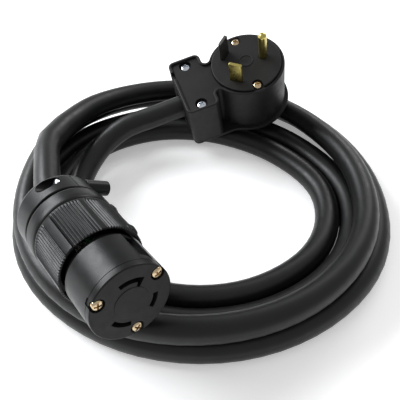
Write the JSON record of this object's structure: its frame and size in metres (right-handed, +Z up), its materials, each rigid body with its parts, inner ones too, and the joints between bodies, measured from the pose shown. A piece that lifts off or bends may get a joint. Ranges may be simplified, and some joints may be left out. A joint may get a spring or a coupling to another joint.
{
  "type": "shore power cord",
  "caption": "Coiled heavy rubber-jacketed power cord for a caravan or RV, with a right-angle bladed plug at one end and a round locking connector at the other.",
  "frame": {"origin": "middle of the footprint of the coiled cord, on the surface it lies on", "axes": "+Z up from that surface; -Y towards the side the connector's face looks at; +X to the right of it"},
  "size_m": [0.2663, 0.2858, 0.0979],
  "materials": {
    "cord_rubber": "satin",
    "plug_plastic": "matte, fine moulded grain",
    "connector_plastic": "satin",
    "seal_rubber": "matte",
    "carrier_plastic": "matte",
    "brass": "bright",
    "nickel": "bright",
    "steel": "bright",
    "black_wire": "satin",
    "white_wire": "satin",
    "green_wire": "satin"
  },
  "bodies": {
    "root": {"cord_jacket": "cord_rubber", "plug_shell": "plug_plastic", "plug_back_cover": "plug_plastic", "plug_face": "plug_plastic", "hot_blade": "brass", "neutral_blade": "nickel", "ground_prong": "brass", "plug_face_screw_1": "brass", "plug_face_screw_2": "brass", "plug_clamp_screw_1": "steel", "plug_clamp_screw_2": "steel", "plug_cord_clamp": "carrier_plastic", "plug_cord_grommet": "seal_rubber", "plug_terminal_deck": "carrier_plastic", "plug_hot_terminal_screw": "steel", "plug_neutral_terminal_screw": "steel", "plug_ground_terminal_screw": "steel", "plug_hot_wire": "black_wire", "plug_neutral_wire": "white_wire", "plug_ground_wire": "green_wire", "connector_face": "plug_plastic", "connector_body": "connector_plastic", "contact_carrier": "carrier_plastic", "socket_ground_contact": "brass", "socket_hot_contact": "brass", "socket_neutral_contact": "brass", "connector_face_screw_1": "brass", "connector_face_screw_2": "brass", "connector_face_screw_3": "brass", "connector_seal_ring": "seal_rubber", "grip_sleeve": "connector_plastic", "rear_collar": "connector_plastic", "connector_cord_grommet": "seal_rubber", "cord_clamp_left": "connector_plastic", "cord_clamp_right": "connector_plastic", "cord_clamp_screw_1": "steel", "cord_clamp_screw_2": "steel", "connector_ground_wire": "green_wire", "connector_hot_wire": "black_wire", "connector_neutral_wire": "white_wire"}
  },
  "joints": []
}
